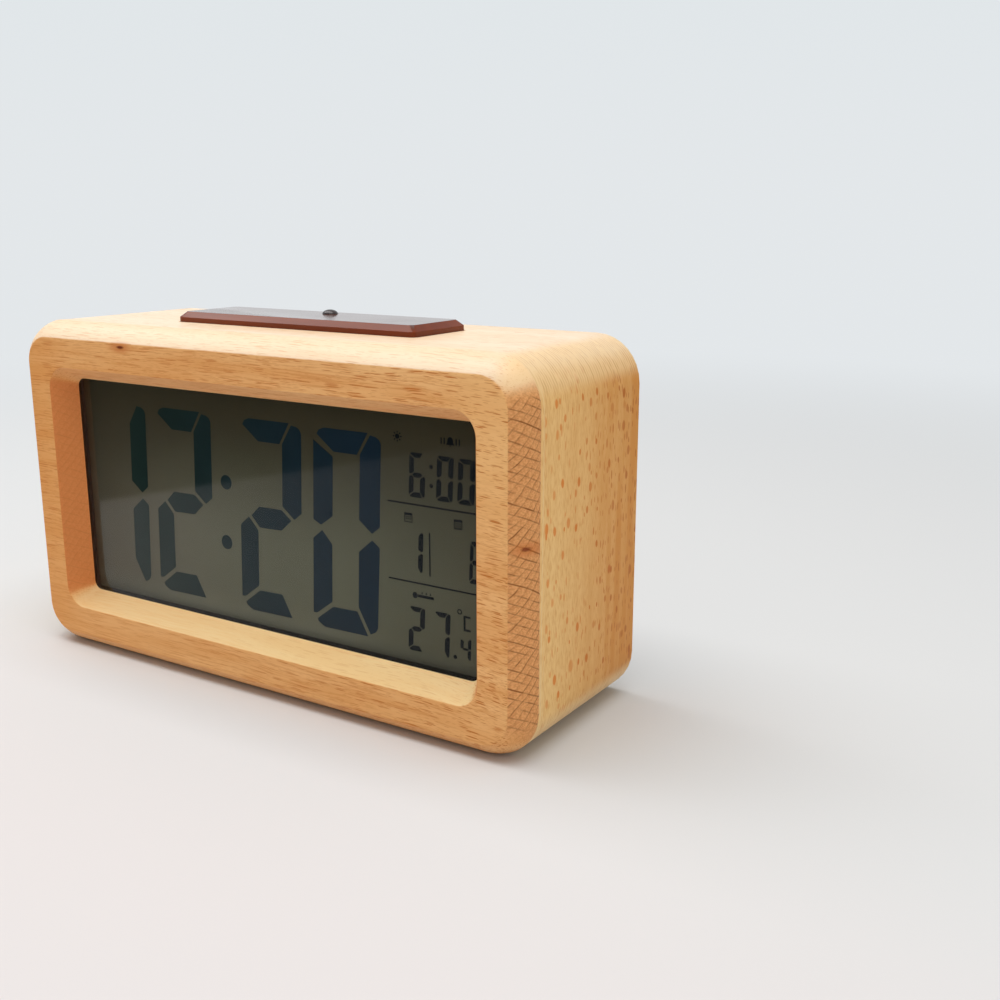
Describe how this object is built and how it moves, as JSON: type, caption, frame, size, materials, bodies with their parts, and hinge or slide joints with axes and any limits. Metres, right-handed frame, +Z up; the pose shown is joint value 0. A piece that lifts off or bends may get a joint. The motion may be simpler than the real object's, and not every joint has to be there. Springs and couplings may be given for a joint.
{
  "type": "digital alarm clock",
  "caption": "Small table alarm clock in a rounded beech case, with a recessed liquid crystal display, a press plate with a light sensor on top, and controls and a battery door behind.",
  "frame": {"origin": "middle of the underside", "axes": "+Z up, the display faces -Y, +X to the right of someone who reads the display"},
  "size_m": [0.135, 0.045, 0.0791],
  "materials": {
    "beech_frame": "oiled, front grain along X",
    "beech_shell": "oiled",
    "lens": "clear, polished",
    "lcd_glass": "polished",
    "black_plastic": "matt",
    "white_plastic": "satin",
    "rubber": "matt",
    "circuit_board": "lacquered",
    "steel": "plated",
    "nickel": "nickel plated",
    "brown_gloss": "gloss",
    "brown_plastic": "fine texture",
    "dark_lens": "gloss",
    "cell_sleeve": "printed sleeve, plain",
    "red_insulation": "satin",
    "grey_insulation": "satin"
  },
  "bodies": {
    "case": {"front_frame": "beech_frame", "case_body": "beech_shell", "display_lens": "lens", "lens_gasket": "black_plastic", "lcd_panel": "lcd_glass", "backlight_panel": "white_plastic", "backlight_led": "white_plastic", "zebra_strip": "rubber", "lcd_holder": "white_plastic", "main_board": "circuit_board", "controller_chip": "black_plastic", "clock_crystal": "steel", "temp_sensor": "black_plastic", "board_screw_1": "steel", "board_screw_2": "steel", "board_screw_3": "steel", "board_screw_4": "steel", "top_board": "circuit_board", "sensor_spacer": "black_plastic", "light_sensor": "dark_lens", "snooze_switch_left": "black_plastic", "snooze_switch_right": "black_plastic", "top_screw_1": "steel", "top_screw_2": "steel", "rear_cover": "brown_plastic", "rear_board": "circuit_board", "set_switch": "black_plastic", "alarm_switch": "black_plastic", "up_switch": "black_plastic", "down_switch": "black_plastic", "sensor_switch": "steel", "buzzer": "black_plastic", "rear_board_screw_1": "steel", "rear_board_screw_2": "steel", "cover_screw_1": "steel", "cover_screw_2": "steel", "cover_screw_3": "steel", "cover_screw_4": "steel", "cell_1": "cell_sleeve", "contact_spring_1": "nickel", "cell_2": "cell_sleeve", "contact_spring_2": "nickel", "cell_3": "cell_sleeve", "contact_spring_3": "nickel", "contact_plus": "nickel", "contact_bridge_right": "nickel", "contact_bridge_left": "nickel", "contact_minus": "nickel", "battery_lead_plus": "red_insulation", "battery_lead_minus": "black_plastic", "buzzer_lead": "red_insulation", "rear_ribbon": "grey_insulation", "top_ribbon": "grey_insulation"},
    "snooze_button": {"snooze_button": "brown_gloss"},
    "set_button": {"set_button": "brown_plastic"},
    "alarm_button": {"alarm_button": "brown_plastic"},
    "up_button": {"up_button": "brown_plastic"},
    "down_button": {"down_button": "brown_plastic"},
    "sensor_slider": {"sensor_slider": "black_plastic"},
    "battery_door": {"battery_door": "brown_plastic"}
  },
  "joints": [
    {"name": "snooze_press", "type": "slide", "parent": "case", "child": "snooze_button", "axis": [0, 0, -1], "range_m": [0, 0.0008], "stiffness_N_per_m": 1500, "springref_m": -0.0005},
    {"name": "set_press", "type": "slide", "parent": "case", "child": "set_button", "axis": [0, -1, 0], "range_m": [0, 0.0005], "stiffness_N_per_m": 1200, "springref_m": -0.0005},
    {"name": "alarm_press", "type": "slide", "parent": "case", "child": "alarm_button", "axis": [0, -1, 0], "range_m": [0, 0.0005], "stiffness_N_per_m": 1200, "springref_m": -0.0005},
    {"name": "up_press", "type": "slide", "parent": "case", "child": "up_button", "axis": [0, -1, 0], "range_m": [0, 0.0005], "stiffness_N_per_m": 1200, "springref_m": -0.0005},
    {"name": "down_press", "type": "slide", "parent": "case", "child": "down_button", "axis": [0, -1, 0], "range_m": [0, 0.0005], "stiffness_N_per_m": 1200, "springref_m": -0.0005},
    {"name": "sensor_slide", "type": "slide", "parent": "case", "child": "sensor_slider", "axis": [1, 0, 0], "range_m": [0, 0.003]},
    {"name": "door_hinge", "type": "hinge", "parent": "case", "child": "battery_door", "pos_m": [0, 0.0217, 0.0089], "axis": [-1, 0, 0], "range_deg": [0, 75]}
  ]
}
